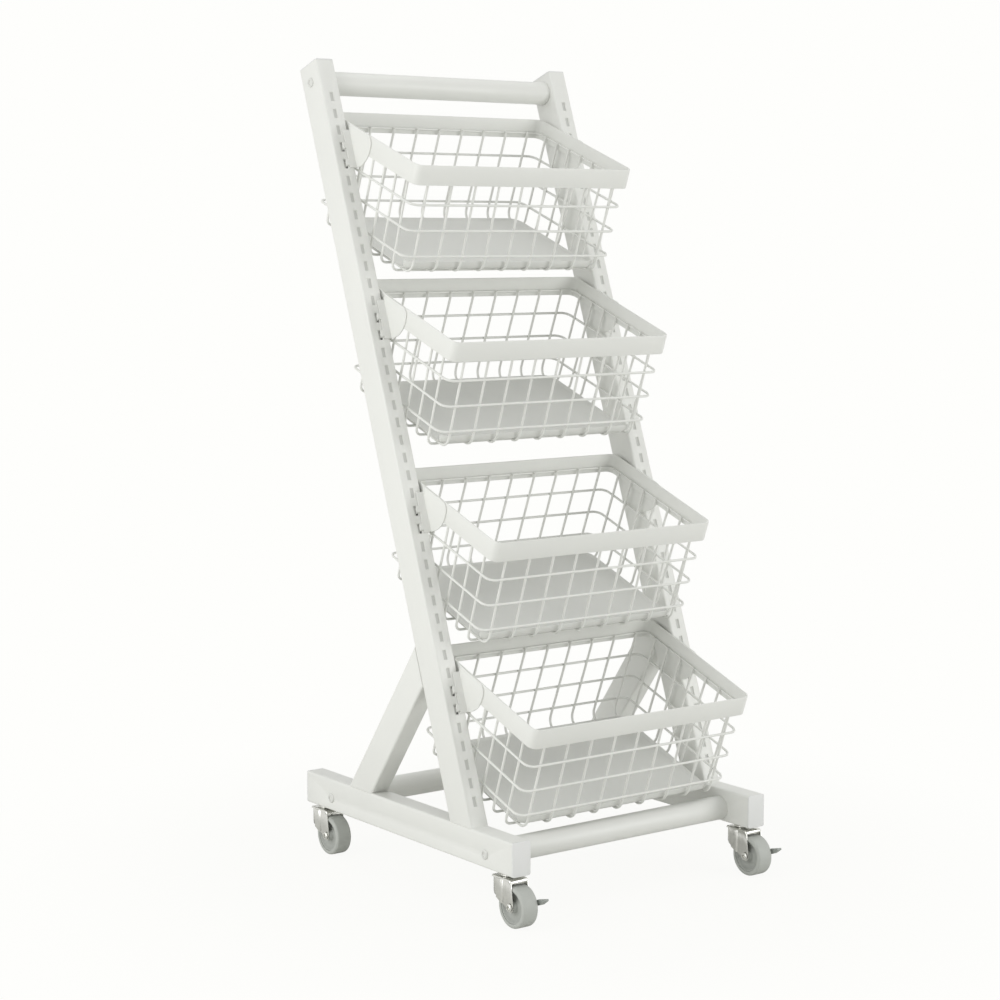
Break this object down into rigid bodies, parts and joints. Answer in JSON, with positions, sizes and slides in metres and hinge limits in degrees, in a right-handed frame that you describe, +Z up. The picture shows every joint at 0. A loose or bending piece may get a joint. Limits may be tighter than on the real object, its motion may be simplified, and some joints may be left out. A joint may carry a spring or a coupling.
{
  "type": "rolling storage cart",
  "caption": "Tall leaning frame of rectangular tube on swivel casters, with sloping wire baskets hooked into slotted uprights and a round push handle.",
  "frame": {"origin": "on the floor, midway between the two feet and midway along them", "axes": "+X to the right, -Y to the front where the baskets face, +Z up"},
  "size_m": [0.4608, 0.5581, 1.1605],
  "materials": {
    "frame_paint": "white powder coat, satin",
    "basket_paint": "white powder coat, satin",
    "bolt_paint": "white painted bolt head",
    "tray_paint": "light grey powder coat, matt",
    "cap_plastic": "white moulded plastic",
    "zinc_plate": "bright zinc plate",
    "plain_steel": "plain steel",
    "wheel_plastic": "grey moulded plastic",
    "tyre_rubber": "grey non-marking rubber",
    "pedal_steel": "grey painted steel"
  },
  "bodies": {
    "frame": {"left_foot": "frame_paint", "right_foot": "frame_paint", "left_upright": "frame_paint", "right_upright": "frame_paint", "left_brace": "frame_paint", "right_brace": "frame_paint", "handle_bar": "frame_paint", "front_bar": "frame_paint", "rear_bar": "frame_paint", "foot_end_caps": "cap_plastic", "upright_end_caps": "cap_plastic", "bar_end_plugs": "plain_steel", "bar_bolts": "bolt_paint", "caster_nuts": "plain_steel", "front_left_caster_stem": "zinc_plate", "front_right_caster_stem": "zinc_plate", "rear_left_caster_stem": "zinc_plate", "rear_right_caster_stem": "zinc_plate"},
    "basket_1": {"basket_1_rim": "basket_paint", "basket_1_hoops": "basket_paint", "basket_1_long_wires": "basket_paint", "basket_1_cross_wires": "basket_paint", "basket_1_tray": "tray_paint", "basket_1_brackets": "basket_paint"},
    "basket_2": {"basket_2_rim": "basket_paint", "basket_2_hoops": "basket_paint", "basket_2_long_wires": "basket_paint", "basket_2_cross_wires": "basket_paint", "basket_2_tray": "tray_paint", "basket_2_brackets": "basket_paint"},
    "basket_3": {"basket_3_rim": "basket_paint", "basket_3_hoops": "basket_paint", "basket_3_long_wires": "basket_paint", "basket_3_cross_wires": "basket_paint", "basket_3_tray": "tray_paint", "basket_3_brackets": "basket_paint"},
    "basket_4": {"basket_4_rim": "basket_paint", "basket_4_hoops": "basket_paint", "basket_4_long_wires": "basket_paint", "basket_4_cross_wires": "basket_paint", "basket_4_tray": "tray_paint", "basket_4_brackets": "basket_paint"},
    "front_left_fork": {"front_left_caster_fork": "zinc_plate", "front_left_caster_axle": "zinc_plate"},
    "front_left_wheel": {"front_left_wheel_hub": "wheel_plastic", "front_left_wheel_tyre": "tyre_rubber"},
    "front_left_pedal": {"front_left_brake_pedal": "pedal_steel"},
    "front_right_fork": {"front_right_caster_fork": "zinc_plate", "front_right_caster_axle": "zinc_plate"},
    "front_right_wheel": {"front_right_wheel_hub": "wheel_plastic", "front_right_wheel_tyre": "tyre_rubber"},
    "front_right_pedal": {"front_right_brake_pedal": "pedal_steel"},
    "rear_left_fork": {"rear_left_caster_fork": "zinc_plate", "rear_left_caster_axle": "zinc_plate"},
    "rear_left_wheel": {"rear_left_wheel_hub": "wheel_plastic", "rear_left_wheel_tyre": "tyre_rubber"},
    "rear_right_fork": {"rear_right_caster_fork": "zinc_plate", "rear_right_caster_axle": "zinc_plate"},
    "rear_right_wheel": {"rear_right_wheel_hub": "wheel_plastic", "rear_right_wheel_tyre": "tyre_rubber"}
  },
  "joints": [
    {"name": "basket_1_lift", "type": "slide", "parent": "frame", "child": "basket_1", "axis": [0, -0.6461, 0.7632], "range_m": [0, 0.03]},
    {"name": "basket_2_lift", "type": "slide", "parent": "frame", "child": "basket_2", "axis": [0, -0.6461, 0.7632], "range_m": [0, 0.03]},
    {"name": "basket_3_lift", "type": "slide", "parent": "frame", "child": "basket_3", "axis": [0, -0.6461, 0.7632], "range_m": [0, 0.03]},
    {"name": "basket_4_lift", "type": "slide", "parent": "frame", "child": "basket_4", "axis": [0, -0.6461, 0.7632], "range_m": [0, 0.03]},
    {"name": "front_left_swivel", "type": "hinge", "parent": "frame", "child": "front_left_fork", "pos_m": [-0.21, -0.226, 0.07], "axis": [0, 0, 1], "continuous": true},
    {"name": "front_left_wheel_spin", "type": "hinge", "parent": "front_left_fork", "child": "front_left_wheel", "pos_m": [-0.21, -0.248, 0.0285], "axis": [1, 0, 0], "continuous": true},
    {"name": "front_left_brake", "type": "hinge", "parent": "front_left_fork", "child": "front_left_pedal", "pos_m": [-0.21, -0.248, 0.0285], "axis": [1, 0, 0], "range_deg": [0, 20]},
    {"name": "front_right_swivel", "type": "hinge", "parent": "frame", "child": "front_right_fork", "pos_m": [0.21, -0.226, 0.07], "axis": [0, 0, 1], "continuous": true},
    {"name": "front_right_wheel_spin", "type": "hinge", "parent": "front_right_fork", "child": "front_right_wheel", "pos_m": [0.21, -0.248, 0.0285], "axis": [1, 0, 0], "continuous": true},
    {"name": "front_right_brake", "type": "hinge", "parent": "front_right_fork", "child": "front_right_pedal", "pos_m": [0.21, -0.248, 0.0285], "axis": [1, 0, 0], "range_deg": [0, 20]},
    {"name": "rear_left_swivel", "type": "hinge", "parent": "frame", "child": "rear_left_fork", "pos_m": [-0.21, 0.226, 0.07], "axis": [0, 0, 1], "continuous": true},
    {"name": "rear_left_wheel_spin", "type": "hinge", "parent": "rear_left_fork", "child": "rear_left_wheel", "pos_m": [-0.21, 0.204, 0.0285], "axis": [1, 0, 0], "continuous": true},
    {"name": "rear_right_swivel", "type": "hinge", "parent": "frame", "child": "rear_right_fork", "pos_m": [0.21, 0.226, 0.07], "axis": [0, 0, 1], "continuous": true},
    {"name": "rear_right_wheel_spin", "type": "hinge", "parent": "rear_right_fork", "child": "rear_right_wheel", "pos_m": [0.21, 0.204, 0.0285], "axis": [1, 0, 0], "continuous": true}
  ]
}
